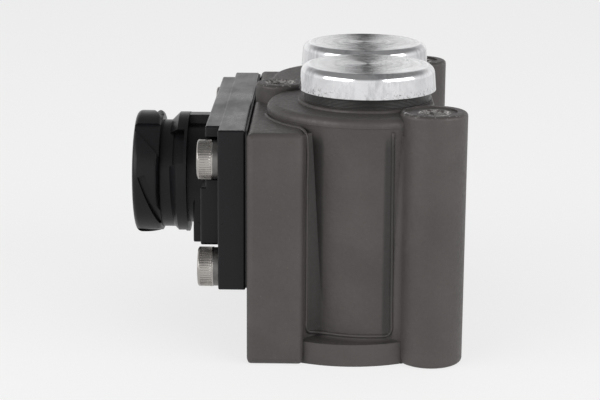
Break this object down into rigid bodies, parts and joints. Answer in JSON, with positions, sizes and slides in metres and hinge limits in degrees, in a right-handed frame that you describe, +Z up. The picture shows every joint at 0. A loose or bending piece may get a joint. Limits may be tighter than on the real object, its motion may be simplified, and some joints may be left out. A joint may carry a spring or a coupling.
{
  "type": "divider valve",
  "caption": "Gearbox divider valve: cast body with two capped piston bores, bolted black solenoid housing and round bayonet plug, for pneumatic gear splitting.",
  "frame": {"origin": "middle of the overall box, on the mounting face", "axes": "+Z up out of the capped bores, -X towards the plug, +Y from the front cap to the rear cap"},
  "size_m": [0.0864, 0.0966, 0.0725],
  "materials": {
    "cast_body": "dark anodised die casting, fine sand-like skin, satin",
    "cap_metal": "bright pressed sheet metal, lightly mottled",
    "black_plastic": "black glass-filled moulding, satin on top",
    "dark_plastic": "dark moulded plug",
    "pale_plastic": "natural coil former",
    "seal_rubber": "black nitrile rubber",
    "screw_steel": "bright plated steel, knurled heads",
    "washer_steel": "dull plated spring steel",
    "spring_steel": "spring steel",
    "thin_steel": "drawn non-magnetic steel tube",
    "soft_iron": "zinc plated soft iron",
    "turned_aluminium": "turned aluminium",
    "brass_parts": "turned brass",
    "copper_wire": "enamelled copper wire",
    "pin_metal": "tin plated brass pins"
  },
  "bodies": {
    "housing": {"valve_body": "cast_body", "front_cap": "cap_metal", "rear_cap": "cap_metal", "front_cap_seal": "seal_rubber", "rear_cap_seal": "seal_rubber", "front_retaining_ring": "spring_steel", "rear_retaining_ring": "spring_steel", "front_bore_plug": "dark_plastic", "rear_bore_plug": "dark_plastic", "front_plug_seal": "seal_rubber", "rear_plug_seal": "seal_rubber", "front_return_spring": "spring_steel", "rear_return_spring": "spring_steel", "front_sleeve": "brass_parts", "rear_sleeve": "brass_parts", "front_sleeve_seals": "seal_rubber", "rear_sleeve_seals": "seal_rubber", "front_nozzle": "brass_parts", "rear_nozzle": "brass_parts", "front_armature_spring": "spring_steel", "rear_armature_spring": "spring_steel", "front_core": "soft_iron", "rear_core": "soft_iron", "front_guide_tube": "thin_steel", "rear_guide_tube": "thin_steel", "front_bobbin": "pale_plastic", "rear_bobbin": "pale_plastic", "front_winding": "copper_wire", "rear_winding": "copper_wire", "front_yoke": "soft_iron", "rear_yoke": "soft_iron", "port_seals": "seal_rubber", "solenoid_housing": "black_plastic", "housing_gasket": "seal_rubber", "housing_screws": "screw_steel", "spring_washers": "washer_steel", "contact_pins": "pin_metal"},
    "front_piston_group": {"front_piston": "turned_aluminium", "front_piston_seal": "seal_rubber", "front_spool_seals": "seal_rubber"},
    "front_armature_group": {"front_armature": "soft_iron", "front_armature_pad": "seal_rubber"},
    "rear_piston_group": {"rear_piston": "turned_aluminium", "rear_piston_seal": "seal_rubber", "rear_spool_seals": "seal_rubber"},
    "rear_armature_group": {"rear_armature": "soft_iron", "rear_armature_pad": "seal_rubber"}
  },
  "joints": [
    {"name": "front_piston_slide", "type": "slide", "parent": "housing", "child": "front_piston_group", "axis": [0, 0, -1], "range_m": [0, 0.004], "stiffness_N_per_m": 2000, "springref_m": -0.004, "deforming": ["front_return_spring"]},
    {"name": "front_armature_slide", "type": "slide", "parent": "housing", "child": "front_armature_group", "axis": [-1, 0, 0], "range_m": [0, 0.0009], "stiffness_N_per_m": 500, "springref_m": -0.002, "deforming": ["front_armature_spring"]},
    {"name": "rear_piston_slide", "type": "slide", "parent": "housing", "child": "rear_piston_group", "axis": [0, 0, -1], "range_m": [0, 0.004], "stiffness_N_per_m": 2000, "springref_m": -0.004, "deforming": ["rear_return_spring"]},
    {"name": "rear_armature_slide", "type": "slide", "parent": "housing", "child": "rear_armature_group", "axis": [-1, 0, 0], "range_m": [0, 0.0009], "stiffness_N_per_m": 500, "springref_m": -0.002, "deforming": ["rear_armature_spring"]}
  ]
}
